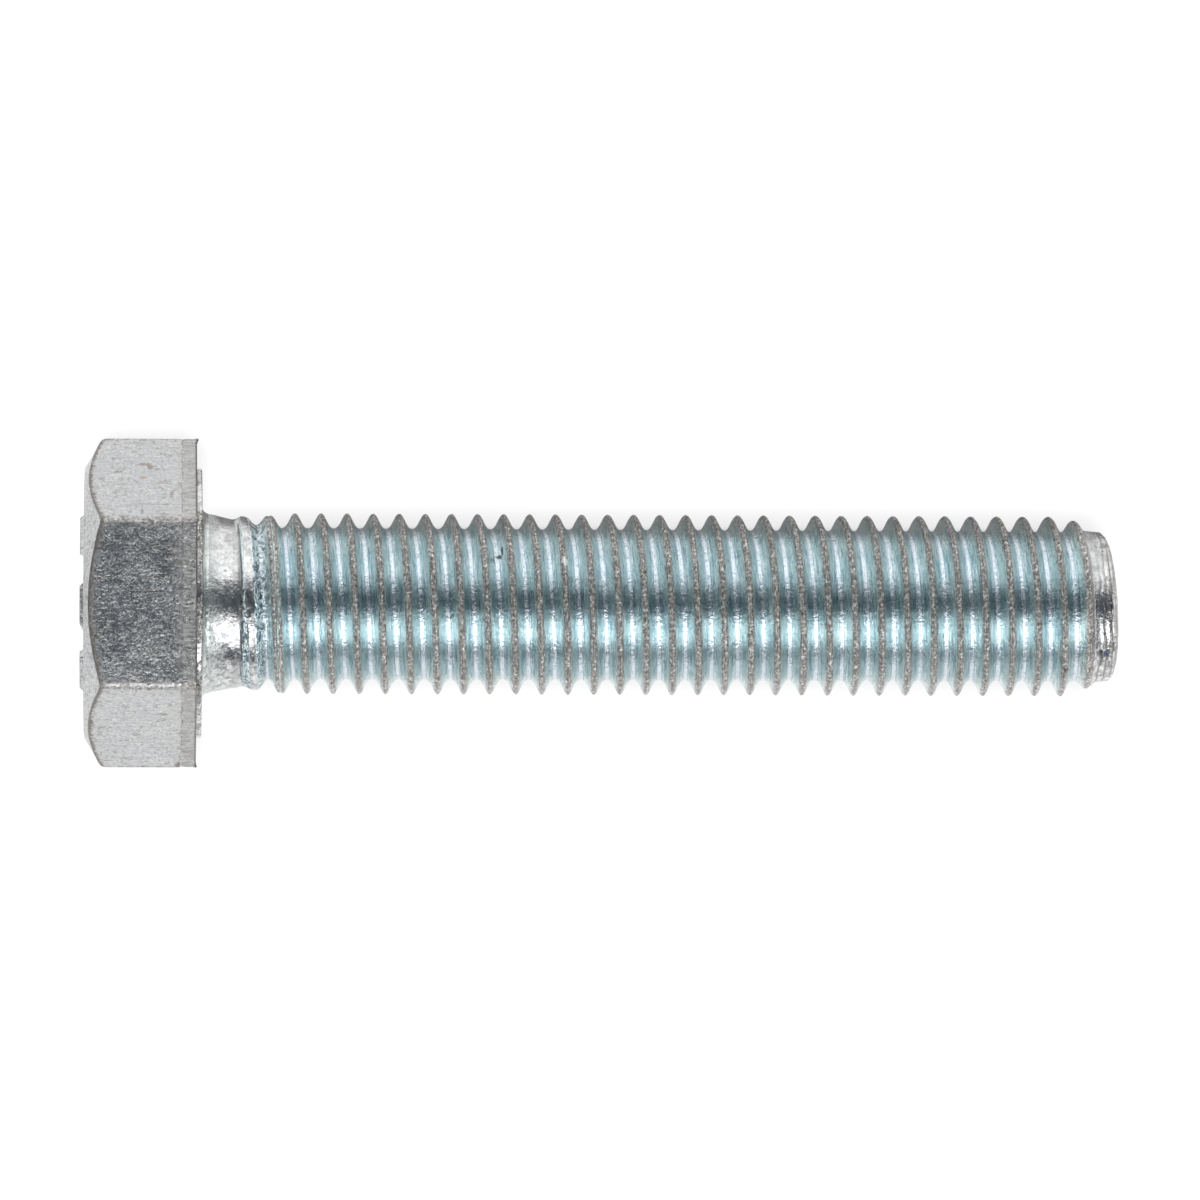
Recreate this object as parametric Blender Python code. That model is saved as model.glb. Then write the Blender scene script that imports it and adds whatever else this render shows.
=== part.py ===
"""Hex bolt M14 x 70, threaded all the way up to its neck, forged in one piece.

The bolt lies along +X with two flats of its hexagon level, as it lies on a table. The origin is
the centre of the head's outer face: the head is at x = 0, and the thread's end is at high x.
Lengths are in metres. Angles around the axis are counted from +Y towards +Z, so a right-hand
thread moves towards +X as its angle grows.
"""

import math

import bmesh
import bpy

MM = 0.001

# Head
ACROSS_FLATS = 21.95 * MM
HEAD_HEIGHT = 8.95 * MM             # outer face to bearing face
CORNER_RADIUS = 0.7 * MM            # worn, rolled corners of the hexagon
CORNER_SEGMENTS = 2
OUTER_FACE_RADIUS = 10.3 * MM       # flat circle inside the chamfer
CHAMFER_ANGLE = math.radians(30)
HEAD_SEGMENTS = 60

# Washer face, the raised ring that bears on the clamped part
WASHER_FACE_RADIUS = 10.3 * MM
WASHER_FACE_HEIGHT = 0.4 * MM

# Plain raised bars on the outer face
BAR_LENGTH = 3.4 * MM
BAR_WIDTH = 1.2 * MM
BAR_HEIGHT = 0.3 * MM
BAR_CORNER = 0.3 * MM
BAR_CIRCLE_RADIUS = 7.6 * MM
BAR_ANGLES = (48, 90, 132)

# Neck between the bearing face and the thread
NECK_RADIUS = 6.85 * MM
NECK_END_RADIUS = 6.47 * MM
FILLET_RADIUS = 0.6 * MM
FILLET_ANGLES = (12, 35, 60, 90)    # where the fillet's rings stand on its arc
SHANK_OVERLAP = 3.0 * MM            # how far the shank's blank reaches into the head

# Thread
PITCH = 2.0 * MM
THREAD_RADIUS = 6.93 * MM
ROOT_RADIUS = 5.74 * MM
CREST_WIDTH = 0.38 * MM
ROOT_WIDTH = 0.32 * MM
CREST_START = 7.15 * MM             # bearing face to a crest on the +Y side
RUNOUT_START = 2.45 * MM            # bearing face to where the thread starts
CREST_RISE = 2.3 * PITCH            # run-out length of the crests
ROOT_FALL = 1.35 * PITCH            # run-out length of the roots
THREAD_SEGMENTS = 24
THREAD_END_GAP = 0.2 * MM           # left between the strip's last turn and the point

# Point
TAPER_START = 66.2 * MM             # bearing face to where the crests start to fall
POINT_START = 69.3 * MM             # bearing face to the end of the thread
POINT_RADIUS = 5.74 * MM
POINT_EDGE = 0.7 * MM               # length of the rounded edge
POINT_EDGE_DEPTH = 1.3 * MM         # how far the rounded edge reaches in from the side
POINT_EDGE_ANGLES = (25, 50, 72, 90)
END_SLANT = math.radians(2.4)       # the end was cut slightly out of square

ZINC_COLOUR = (0.60, 0.66, 0.68, 1.0)


def clear_scene():
    """Remove whatever objects the scene holds."""
    for obj in list(bpy.data.objects):
        bpy.data.objects.remove(obj, do_unlink=True)


def zinc_material():
    """Blue passivated zinc plating."""
    material = bpy.data.materials.new("blue_zinc")
    material.use_nodes = True
    shader = material.node_tree.nodes["Principled BSDF"]
    shader.inputs["Base Color"].default_value = ZINC_COLOUR
    shader.inputs["Metallic"].default_value = 1.0
    shader.inputs["Roughness"].default_value = 0.32
    return material


def add_object(name, bm):
    """Turn a bmesh into an object of the scene."""
    mesh = bpy.data.meshes.new(name)
    bm.to_mesh(mesh)
    bm.free()
    obj = bpy.data.objects.new(name, mesh)
    bpy.context.scene.collection.objects.link(obj)
    return obj


def around_axis(x, radius, angle):
    """The point at a distance and an angle from the bolt's axis."""
    return (x, radius * math.cos(angle), radius * math.sin(angle))


def add_ring(bm, x, radius, count, slant=0.0):
    """A ring of vertices around the axis; a slant leans it towards +X on its -Y side."""
    ring = []
    for step in range(count):
        place = around_axis(x, radius, math.tau * step / count)
        ring.append(bm.verts.new((place[0] - place[1] * math.tan(slant), place[1], place[2])))
    return ring


def add_band(bm, near, far):
    """The faces between two rings, the far one towards +X."""
    for step in range(len(near)):
        after = (step + 1) % len(near)
        bm.faces.new((near[step], near[after], far[after], far[step]))


def turned_solid(name, profile, count):
    """A closed solid turned around the axis, from (x, radius) pairs along +X."""
    bm = bmesh.new()
    rings = [add_ring(bm, x, radius, count) for x, radius in profile]
    for near, far in zip(rings, rings[1:]):
        add_band(bm, near, far)
    bm.faces.new(list(reversed(rings[0])))
    bm.faces.new(rings[-1])
    return add_object(name, bm)


def hexagon_blank():
    """The hexagon bar of the head, flats at +Z and -Z, with rounded corners."""
    across_corners = ACROSS_FLATS / math.cos(math.radians(30))
    bm = bmesh.new()
    near = add_ring(bm, -1.0 * MM, across_corners / 2, 6)
    far = add_ring(bm, HEAD_HEIGHT - WASHER_FACE_HEIGHT, across_corners / 2, 6)
    add_band(bm, near, far)
    corners = [edge for edge in bm.edges if edge.verts[0].co.x != edge.verts[1].co.x]
    bm.faces.new(list(reversed(near)))
    bm.faces.new(far)
    bmesh.ops.bevel(
        bm,
        geom=corners,
        offset=CORNER_RADIUS * math.tan(math.radians(30)),
        segments=CORNER_SEGMENTS,
        profile=0.5,
        affect="EDGES",
    )
    return add_object("hex_bolt", bm)


def chamfer_blank():
    """The turned shape that the head's outer end is chamfered to."""
    reach = 14.0 * MM
    chamfer_depth = (reach - OUTER_FACE_RADIUS) * math.tan(CHAMFER_ANGLE)
    profile = [(0.0, OUTER_FACE_RADIUS), (chamfer_depth, reach), (HEAD_HEIGHT + 1.0 * MM, reach)]
    return turned_solid("chamfer_blank", profile, HEAD_SEGMENTS)


def washer_face():
    """The raised ring under the head."""
    profile = [(HEAD_HEIGHT - 1.5 * MM, WASHER_FACE_RADIUS), (HEAD_HEIGHT, WASHER_FACE_RADIUS)]
    return turned_solid("washer_face", profile, HEAD_SEGMENTS)


def raised_bar(angle):
    """One plain bar that stands out of the head's outer face, across its radius."""
    bm = bmesh.new()
    bmesh.ops.create_cube(bm, size=1.0)
    for vert in bm.verts:
        vert.co.x = vert.co.x * BAR_HEIGHT * 3 + BAR_HEIGHT / 2
        vert.co.y = vert.co.y * BAR_WIDTH
        vert.co.z = vert.co.z * BAR_LENGTH
    corners = [edge for edge in bm.edges if edge.verts[0].co.x != edge.verts[1].co.x]
    bmesh.ops.bevel(bm, geom=corners, offset=BAR_CORNER, segments=2, profile=0.5, affect="EDGES")
    bar = add_object("raised_bar", bm)
    bar.location = around_axis(0.0, BAR_CIRCLE_RADIUS, angle)
    bar.rotation_euler = (angle, 0.0, 0.0)
    return bar


def ramp(x, start, length):
    """0 before the start, 1 after the length, and a straight line between them."""
    return min(1.0, max(0.0, (x - start) / length))


def crest_radius(x):
    """How far the crests reach from the axis at x."""
    rise = ramp(x, HEAD_HEIGHT + RUNOUT_START, CREST_RISE)
    fall = ramp(x, HEAD_HEIGHT + TAPER_START, POINT_START - TAPER_START)
    radius = NECK_END_RADIUS + (THREAD_RADIUS - NECK_END_RADIUS) * rise
    return radius - (THREAD_RADIUS - POINT_RADIUS) * fall


def root_radius(x):
    """How far the roots are from the axis at x."""
    fall = ramp(x, HEAD_HEIGHT + RUNOUT_START, ROOT_FALL)
    return NECK_END_RADIUS - (NECK_END_RADIUS - ROOT_RADIUS) * fall


def thread_form():
    """The thread's corners over one pitch: (place in pitches, height from 0 root to 1 crest)."""
    crest = CREST_WIDTH / 2 / PITCH
    root = ROOT_WIDTH / 2 / PITCH
    return [(crest, 1.0), (0.5 - root, 0.0), (0.5 + root, 0.0), (1.0 - crest, 1.0)]


def thread_x(row, step):
    """Where a vertex of the thread is along the axis; rows count the form's corners."""
    turn, corner = divmod(row, len(thread_form()))
    place = thread_form()[corner][0]
    first_crest = HEAD_HEIGHT + CREST_START - 2 * PITCH
    return first_crest + (turn + place + step / THREAD_SEGMENTS - 0.5) * PITCH


def thread_vertex(bm, row, step):
    """A vertex of the thread; steps go round the axis from the -Y side."""
    x = thread_x(row, step)
    height = thread_form()[row % len(thread_form())][1]
    radius = root_radius(x) + height * (crest_radius(x) - root_radius(x))
    return bm.verts.new(around_axis(x, radius, math.tau * step / THREAD_SEGMENTS - math.pi))


def add_thread(bm, near, far):
    """The right-hand thread between two rings, wound as one strip with its ends closed."""
    corners = len(thread_form())
    last = 0
    while thread_x(last + corners + 1, 0) < far[0].co.x - THREAD_END_GAP:
        last += 1
    columns = [[thread_vertex(bm, row, 0) for row in range(last + corners + 1)]]
    for step in range(1, THREAD_SEGMENTS):
        columns.append([thread_vertex(bm, row, step) for row in range(last + 1)])
    columns.append(columns[0][corners:])
    for left, right in zip(columns, columns[1:]):
        for row in range(last):
            bm.faces.new((left[row], right[row], right[row + 1], left[row + 1]))
    for step in range(THREAD_SEGMENTS - 1):
        bm.faces.new((near[step], near[step + 1], columns[step + 1][0], columns[step][0]))
    for step in range(1, THREAD_SEGMENTS):
        after = (step + 1) % THREAD_SEGMENTS
        bm.faces.new((columns[step][last], columns[step + 1][last], far[after], far[step]))
    bm.faces.new([near[-1], near[0]] + columns[0][:corners + 1] + [columns[-2][0]])
    bm.faces.new(
        [columns[0][last], columns[1][last], far[1], far[0]]
        + list(reversed(columns[0][last + 1:]))
    )


def threaded_shank():
    """Neck, thread and point as one closed solid that starts inside the head."""
    bm = bmesh.new()
    start = add_half_turned_ring(bm, HEAD_HEIGHT - SHANK_OVERLAP, NECK_RADIUS + FILLET_RADIUS)
    near = start
    for degrees in FILLET_ANGLES:
        angle = math.radians(degrees)
        x = HEAD_HEIGHT + FILLET_RADIUS * (1 - math.cos(angle))
        radius = NECK_RADIUS + FILLET_RADIUS * (1 - math.sin(angle))
        ring = add_half_turned_ring(bm, x, radius)
        add_band(bm, near, ring)
        near = ring
    neck_end = add_half_turned_ring(bm, HEAD_HEIGHT + RUNOUT_START - 0.5 * MM, NECK_END_RADIUS)
    add_band(bm, near, neck_end)
    near = add_half_turned_ring(bm, HEAD_HEIGHT + POINT_START, POINT_RADIUS, END_SLANT / 2)
    add_thread(bm, neck_end, near)
    for degrees in POINT_EDGE_ANGLES:
        angle = math.radians(degrees)
        x = HEAD_HEIGHT + POINT_START + POINT_EDGE * math.sin(angle)
        radius = POINT_RADIUS - POINT_EDGE_DEPTH * (1 - math.cos(angle))
        ring = add_half_turned_ring(bm, x, radius, END_SLANT)
        add_band(bm, near, ring)
        near = ring
    bm.faces.new(list(reversed(start)))
    bm.faces.new(near)
    bmesh.ops.triangulate(bm, faces=[face for face in bm.faces if len(face.verts) < 12])
    return add_object("threaded_shank", bm)


def add_half_turned_ring(bm, x, radius, slant=0.0):
    """A ring whose first vertex is on the -Y side, where the thread's strip starts."""
    ring = add_ring(bm, x, radius, THREAD_SEGMENTS, slant)
    half = THREAD_SEGMENTS // 2
    return ring[half:] + ring[:half]


def join(body, tool, operation):
    """Cut or join two solids and keep the result in the body's mesh."""
    tool.hide_render = True
    tool.display_type = "WIRE"
    modifier = body.modifiers.new(tool.name, "BOOLEAN")
    modifier.solver = "EXACT"
    modifier.operation = operation
    modifier.object = tool
    bpy.context.view_layer.update()
    graph = bpy.context.evaluated_depsgraph_get()
    result = bpy.data.meshes.new_from_object(body.evaluated_get(graph), depsgraph=graph)
    body.modifiers.remove(modifier)
    body.data = result
    bpy.data.objects.remove(tool, do_unlink=True)


def build():
    """Forge the head, join the shank to it, and finish the surface."""
    clear_scene()
    bolt = hexagon_blank()
    join(bolt, chamfer_blank(), "INTERSECT")
    join(bolt, washer_face(), "UNION")
    for degrees in BAR_ANGLES:
        join(bolt, raised_bar(math.radians(degrees)), "UNION")
    join(bolt, threaded_shank(), "UNION")
    bolt.data.name = bolt.name
    bolt.data.materials.clear()
    bolt.data.materials.append(zinc_material())
    bolt.data.shade_smooth()
    bolt.data.set_sharp_from_angle(angle=math.radians(28))


build()
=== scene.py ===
"""Looks of the hex bolt: its fine surface, its blue zinc plating, and the studio round it.

The bolt lies along +X, as in the frame: head at x = 0, flats of the hexagon level. One closed mesh
replaces the CAD node. It is a single tube of rings, from the centre of the head's outer face, over
the hexagon, the washer face and the neck, along the helix of the thread, to the point.
Sizes of the bolt are in millimetres and angles round its axis are counted from +Y towards +Z.
"""

import math

import bpy
import numpy as np
from mathutils import Matrix, Vector, noise


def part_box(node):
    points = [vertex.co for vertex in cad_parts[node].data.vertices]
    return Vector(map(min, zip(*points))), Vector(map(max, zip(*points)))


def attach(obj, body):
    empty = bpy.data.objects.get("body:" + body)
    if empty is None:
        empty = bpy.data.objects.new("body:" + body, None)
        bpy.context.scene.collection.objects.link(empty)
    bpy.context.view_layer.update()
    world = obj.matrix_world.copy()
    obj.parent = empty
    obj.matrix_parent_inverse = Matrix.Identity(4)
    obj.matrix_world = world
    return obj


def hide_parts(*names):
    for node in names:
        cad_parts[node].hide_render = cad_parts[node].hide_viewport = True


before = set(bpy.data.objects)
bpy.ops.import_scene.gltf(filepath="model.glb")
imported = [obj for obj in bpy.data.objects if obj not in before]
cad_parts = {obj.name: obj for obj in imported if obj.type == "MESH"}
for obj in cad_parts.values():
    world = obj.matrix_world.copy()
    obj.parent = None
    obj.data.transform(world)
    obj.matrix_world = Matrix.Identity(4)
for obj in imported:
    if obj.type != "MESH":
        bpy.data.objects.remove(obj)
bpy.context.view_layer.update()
node_low, node_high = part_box("hex_bolt")

MM = 0.001

# Head
APOTHEM = node_high.z / MM                  # half of the width across flats
CORNER_RADIUS = 0.7
HEAD_HEIGHT = 8.95                          # outer face to bearing face
OUTER_FACE_RADIUS = 10.3
CHAMFER_SLOPE = math.tan(math.radians(30))
EDGE_ROUND = 0.1                            # wear on the head's sharp edges
WASHER_RADIUS = 10.3
WASHER_HEIGHT = 0.4
FLAT_END = HEAD_HEIGHT - WASHER_HEIGHT
TRIM_START = 7.42                           # where the trimming die's band starts on the flats
TRIM_DEPTH = 0.035
GROOVE_DEPTH = 0.04                         # the groove where the band starts
GROOVE_WIDTH = 0.08
HEAD_COLUMNS = 288
CORNER_CROWDING = 0.85                      # how far columns crowd to the hexagon's corners

# Raised bars on the outer face, at angles from +Y, in degrees
BAR_CENTRES = (48.0, 91.5, 132.0)
BAR_HALF_ANGLE = 12.6
BAR_RADIUS = 7.6
BAR_HALF_WIDTH = 0.62
BAR_HEIGHT = 0.3

# Neck
FILLET_RADIUS = 0.6
NECK_START_RADIUS = 6.86

# Thread
PITCH = 2.0
CREST_AT_Y = 16.05                          # x of a crest on the +Y side
CREST_RADIUS = 6.935
FLANK_RUN = 0.58                            # axial length of a flank of full depth
CREST_HALF_WIDTH = 0.12
CREST_SOFTNESS = 0.25                       # how far crest and root are rounded, in flank heights
ROOT_SOFTNESS = 0.43
SHANK_COLUMNS = 144
HALF_FORM = (0.09, 0.18, 0.28, 0.42, 0.56, 0.71, 0.86)  # vertices between a crest and a root
FLANK_LENGTH = 1.4                          # surface length from a crest to a root
TURN_LENGTH = 43.5                          # surface length of one turn
CREST_BAND = 0.27                           # half width of the matt band on the crests
VEIL_REACH = 0.6                            # where the band's dull veil ends on the flanks

COLLAR = 12.05                              # x of the run-out's smooth first crest on the +Y side
COLLAR_RISE = 0.25                          # how much longer the flank before it is
# Stretches along the thread: x where each begins, is full, begins to end and has ended
DULL_STRIP = (11.2, 11.27, 11.82, 11.92)    # before the collar
TORN_VALLEY = (11.8, 12.1, 13.5, 14.1)      # after the collar
TINTED = (12.4, 14.6, 75.6, 77.2)
FOLDED = (76.9, 77.5)                       # folds round the end, which run on to its last vertex
SLANTED = (76.6, 78.7)

# Envelopes of the shank: (x, radius) of its roots and of its crests
ROOT_LINE = (
    (9.55, 6.84), (10.3, 6.65), (11.1, 6.46), (11.4, 6.38), (12.0, 6.24), (13.1, 6.0),
    (14.0, 5.79), (15.0, 5.78), (76.3, 5.74), (77.0, 5.58), (77.6, 5.74), (78.4, 5.74),
)
CREST_LINE = (
    (11.2, 6.44), (11.5, 6.52), (11.9, 6.67), (12.95, 6.62), (14.0, 6.74), (15.0, 6.88),
    (16.0, CREST_RADIUS), (75.1, CREST_RADIUS), (76.1, 6.62), (76.9, 6.36), (77.9, 5.9), (78.3, 5.73),
)
SPIRAL_START = 9.75                         # x of the spiral's first vertices
SPIRAL_END = 78.25
POINT_PROFILE = (
    (78.3, 5.74), (78.48, 5.62), (78.64, 5.43), (78.77, 5.15), (78.87, 4.8), (78.94, 4.35),
    (78.98, 3.6), (78.97, 2.8), (78.93, 1.8), (78.89, 0.4),
)
POINT_RINGS = 30
POINT_CROWDING = 1.35                       # how far the rings crowd to the point's outer edge
POINT_SLANT = 0.055                         # the end leans towards +X on its -Y side
RIDGE_SPACING = 0.46                        # folds round the end

# Bake layout: one square sheet, its side and its charts in millimetres of the bolt's surface
SHEET = 92.0
OUTER_FACE_AT = np.array((13.2, 72.8))
BEARING_FACE_AT = np.array((39.8, 72.8))    # the point's end lies in the hole of this chart
FLATS_AT = (53.6, 59.6)
FLATS_SHEET = (76.2, 9.1)                   # length of the six flats together, height of a row
SHANK_AT = (0.6, 1.0)
SHANK_SHEET = (43.6, 45.6)                  # width of a column of turns, step to the next column
TURN_SHEET = 3.28                           # surface length of one pitch along its profile
TURNS_PER_CHART = 17
WEDGE_SHEET = 1.2                           # height of the wedges at the spiral's two ends

# Small stains and chips: place, half size in x, y and z, and colour
HEAD_SPOTS = (
    ((4.55, 10.55, 4.0), (0.62, 0.10, 1.5), (0.27, 0.24, 0.21)),
    ((5.0, 10.33, 4.3), (0.25, 0.22, 1.5), (0.27, 0.24, 0.21)),
    ((4.45, 9.5, 5.4), (0.25, 0.12, 1.5), (0.40, 0.31, 0.20)),
    ((2.55, 9.95, 4.8), (0.3, 0.08, 1.5), (0.28, 0.25, 0.22)),
    ((6.6, 8.2, 7.5), (0.16, 0.3, 1.5), (0.33, 0.31, 0.29)),
    ((4.4, 6.9, 9.5), (0.12, 0.3, 1.5), (0.28, 0.27, 0.26)),
    ((6.1, -8.4, 7.6), (0.35, 0.1, 1.5), (0.30, 0.27, 0.24)),
)
SHANK_SPOTS = (
    ((36.5, 3.3, 6.1), (0.28, 0.42, 0.6), (0.95, 0.95, 0.93)),
    ((31.5, 3.6, 4.9), (0.3, 0.16, 1.2), (0.05, 0.06, 0.07)),
    ((31.75, 4.1, 4.5), (0.1, 0.35, 1.2), (0.06, 0.07, 0.08)),
    ((74.95, -4.85, 4.9), (0.28, 0.2, 0.8), (0.10, 0.06, 0.04)),
    ((77.95, -3.6, 4.3), (0.12, 0.28, 0.9), (0.06, 0.08, 0.17)),
)

# Depth of the surface's grain, in metres, for a height of 1 in its material
HEAD_GRAIN = 0.00005
SHANK_GRAIN = 0.00001

# Studio
CAMERA_DISTANCE = 0.570
CAMERA_LENS = 222.7
CAMERA_ROLL = -0.004
CAMERA_AIM = (0.0395, 0.00037, 0.0)
LAST_CONTACT = 75.3                         # where the thread touches the floor
# Shade on the table under head and shank: low x, high x, low y, high y, from the camera's aim
HEAD_SHADE = (-0.0373, -0.0332, -0.0109, 0.0107)
SHANK_SHADE = (-0.0330, 0.0372, -0.0047, 0.0045)
SHADE_REACH = 0.0030
# Painted shade for reflections: black sheets on the table, seen only in the bolt's reflections,
# where they stand in for the shadow beside it. Their ends along the bolt; on each side the near
# edge, where it starts to thin out, its far edge and how much it covers
SHADE_SHEET_ENDS = (-0.0300, 0.0420)
UPPER_SHADE_SHEET = (0.0, 0.0150, 0.0290, 0.74)
LOWER_SHADE_SHEET = (-0.0100, -0.0350, -0.0750, 0.08)
SHADE_SHEET_HEIGHT = 0.0002
# Area lights: name, two angles from straight up, distance, length and radiance
SOFTBOXES = (
    ("upper_softbox", (-29, -87), 0.45, 1.3, 0.95),
    ("upper_core", (-38, -72), 0.44, 1.2, 0.4),
    ("lower_softbox", (26.3, 60.5), 0.45, 1.3, 2.85),
)
ROOM_COLOUR = (0.84, 0.95, 1.06, 1.0)
ROOM_STRENGTH = 0.14
TABLE_GLOW = 0.965
# The shade on the table: share of its reach, and grey
TABLE_SHADE = ((0.0, 0.1), (0.2, 0.42), (0.42, 0.8), (0.7, 0.89), (1.0, 1.0))


def smoothstep(value, low, high):
    """0 below low, 1 above high, and a smooth rise between them."""
    t = np.clip((value - low) / (high - low), 0.0, 1.0)
    return t * t * (3.0 - 2.0 * t)


def stretch(value, start, full, fading, end):
    """1 between two places, with a smooth rise before them and a smooth fall after them."""
    return smoothstep(value, start, full) * (1.0 - smoothstep(value, fading, end))


def bell(value, width):
    """1 at 0, falling away on both sides."""
    return np.exp(-((value / width) ** 2))


def soft_max(a, b, softness):
    """The larger of two values, rounded where they cross."""
    h = np.clip(0.5 + 0.5 * (a - b) / softness, 0.0, 1.0)
    return b * (1.0 - h) + a * h + softness * h * (1.0 - h)


def soft_min(a, b, softness):
    """The smaller of two values, rounded where they cross."""
    return -soft_max(-np.asarray(a), -np.asarray(b), softness)


def along(line, x):
    """The radius at x on a line of (x, radius) points."""
    xs, radii = zip(*line)
    return np.interp(x, xs, radii)


def rough(places, scale, seed, octaves=2):
    """Smooth noise about 0 for an array of places, given its scale in 1/mm."""
    offset = Vector((seed * 17.3, seed * 5.1, seed * 11.7))
    flat = np.asarray(places, float).reshape(-1, 3) * scale
    values = [noise.fractal(Vector(p) + offset, 0.8, 2.1, octaves) for p in flat]
    return np.array(values).reshape(np.shape(places)[:-1])


def around(x, radius, angles):
    """Points round the axis, as an array of rows (x, y, z)."""
    x, radius, angles = np.broadcast_arrays(x, radius, angles)
    return np.stack((x, radius * np.cos(angles), radius * np.sin(angles)), axis=-1)


def link_object(name, data):
    """A new object in the scene."""
    obj = bpy.data.objects.new(name, data)
    bpy.context.scene.collection.objects.link(obj)
    return obj


class Skin:
    """Collects the vertices, faces and bake coordinates of the bolt's one closed surface.

    Each vertex holds numbers for the materials, its marks:
    tint: blue zinc, not silver; wear: matt crest; veil: haze beside it; torn: torn metal;
    edge: worn edge of the head, and painted shade on its two corners at +Y and -Y;
    border: duller strip along an edge; folds: folds round the end;
    run, across: place along and across the helix; reach: distance past the end's first ring.
    """

    MARKS = ("tint", "wear", "veil", "torn", "edge", "border", "run", "across", "folds", "reach")

    def __init__(self):
        self.points = []
        self.marks = {name: [] for name in self.MARKS}
        self.count = 0
        self.faces = []
        self.sheets = []
        self.slots = []

    def add(self, points, **marks):
        """Adds vertices and returns their numbers in the shape of the array."""
        shape = points.shape[:-1]
        total = int(np.prod(shape))
        self.points.append(points.reshape(-1, 3))
        for name in self.MARKS:
            value = np.broadcast_to(marks.get(name, 0.0), shape)
            self.marks[name].append(np.ravel(value).astype(float))
        numbers = np.arange(self.count, self.count + total).reshape(shape)
        self.count += total
        return numbers

    def ring(self, points, **marks):
        """Adds a closed ring: its vertices' numbers, with the first one again at the end."""
        ring = self.add(points, **marks)
        return np.append(ring, ring[0])

    def faces_from(self, corners, chart, slot, u=None, v=None):
        """Adds faces given as rows of vertex numbers, with a chart that lays them on the sheet."""
        places = np.concatenate(self.points)[corners]
        self.faces.extend(corners.tolist())
        self.sheets.append((chart(places, u, v) / SHEET).reshape(-1, 2))
        self.slots.extend([slot] * len(corners))

    def band(self, near, far, chart, slot, v=(0.0, 0.0), u=(0.0, 1.0)):
        """Quads between two lines of as many vertices, the far one towards the point.

        On the chart the band runs from v[0] to v[1] along the bolt, and from u[0] to u[1] round it.
        """
        corners = np.stack((near[:-1], near[1:], far[1:], far[:-1]), axis=1)
        edges = np.linspace(*u, len(near))
        u = np.stack((edges[:-1], edges[1:], edges[1:], edges[:-1]), axis=1)
        v = np.broadcast_to((v[0], v[0], v[1], v[1]), u.shape)
        self.faces_from(corners, chart, slot, u, v)

    def halving_band(self, near, far, chart, slot):
        """Triangles between a ring and a ring with half as many vertices."""
        a, b, c = near[0:-1:2], near[1::2], near[2::2]
        p, q = far[:-1], far[1:]
        for corners in ((a, b, p), (b, q, p), (b, c, q)):
            self.faces_from(np.stack(corners, axis=1), chart, slot)

    def fan(self, hub, rim, chart, slot, v=0.0):
        """Triangles from one vertex along a line of vertices, anticlockwise seen from outside."""
        corners = np.stack((np.full(len(rim) - 1, hub), rim[:-1], rim[1:]), axis=1)
        self.faces_from(corners, chart, slot, np.zeros(corners.shape), np.full(corners.shape, v))

    def to_object(self, name):
        """The finished mesh object, in metres."""
        used = np.unique(np.concatenate([np.array(face) for face in self.faces]))
        place_of = np.full(self.count, -1)
        place_of[used] = np.arange(len(used))
        faces = [place_of[list(face)].tolist() for face in self.faces]
        points = np.concatenate(self.points)[used] * MM
        mesh = bpy.data.meshes.new(name)
        mesh.from_pydata(points.tolist(), [], faces)
        mesh.polygons.foreach_set("material_index", self.slots)
        sheet = mesh.uv_layers.new(name="OFBake")
        sheet.data.foreach_set("uv", np.concatenate(self.sheets).ravel())
        mesh.uv_layers.active = sheet
        for mark in self.MARKS:
            layer = mesh.attributes.new(mark, "FLOAT", "POINT")
            layer.data.foreach_set("value", np.concatenate(self.marks[mark])[used])
        mesh.shade_smooth()
        mesh.validate()
        return link_object(name, mesh)


# Charts: where each stretch of the surface lies on the bake sheet


def outer_face_chart(places, u, v):
    """The outer face and the chamfer, seen from the head's end."""
    return places[..., 1:] + OUTER_FACE_AT


def bearing_face_chart(places, u, v):
    """The bearing side of the head, seen from the point, with the washer face's rim spread out."""
    radius = np.linalg.norm(places[..., 1:], axis=-1, keepdims=True)
    spread = 1.0 + (HEAD_HEIGHT - places[..., :1]) / radius
    return places[..., 1:] * spread + BEARING_FACE_AT


def point_chart(places, u, v):
    """The end of the thread, inside the hole of the bearing side's chart."""
    return places[..., 1:] + BEARING_FACE_AT


def flats_chart(places, u, v):
    """The sides of the hexagon, two flats in each of three rows."""
    length, row_height = FLATS_SHEET
    row = np.minimum(np.floor(u.min(axis=1, keepdims=True) * 3 + 1e-6), 2)
    across = (u - row / 3) * length
    return np.stack((across + FLATS_AT[0], v + FLATS_AT[1] + row * row_height), axis=-1)


def shank_chart(places, u, v):
    """Neck and thread, cut into two columns of turns."""
    width, step = SHANK_SHEET
    height = TURNS_PER_CHART * TURN_SHEET
    column = np.clip(np.floor(v[:, :1] / height + 1e-6), 0, 1)
    across = u * width + SHANK_AT[0] + column * step
    return np.stack((across, v - column * height + SHANK_AT[1]), axis=-1)


# Head


def head_angles():
    """Angles of the head's columns, crowded at the hexagon's corners, from -Z round to -Z."""
    per_side = HEAD_COLUMNS // 6
    share = np.arange(HEAD_COLUMNS) / per_side
    side, part = np.floor(share), share % 1.0
    crowded = part - CORNER_CROWDING * np.sin(math.tau * part) / math.tau
    corner = -math.pi * 2 / 3
    angles = corner + (side + crowded) * math.pi / 3
    start = int(np.argmin(np.abs(angles + math.pi / 2)))
    return np.concatenate((angles[start:], angles[:start] + math.tau))


def from_near_corner(angles):
    """Angles counted from the nearest corner of the hexagon."""
    return (angles + math.pi / 6) % (math.pi / 3) - math.pi / 6


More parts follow.
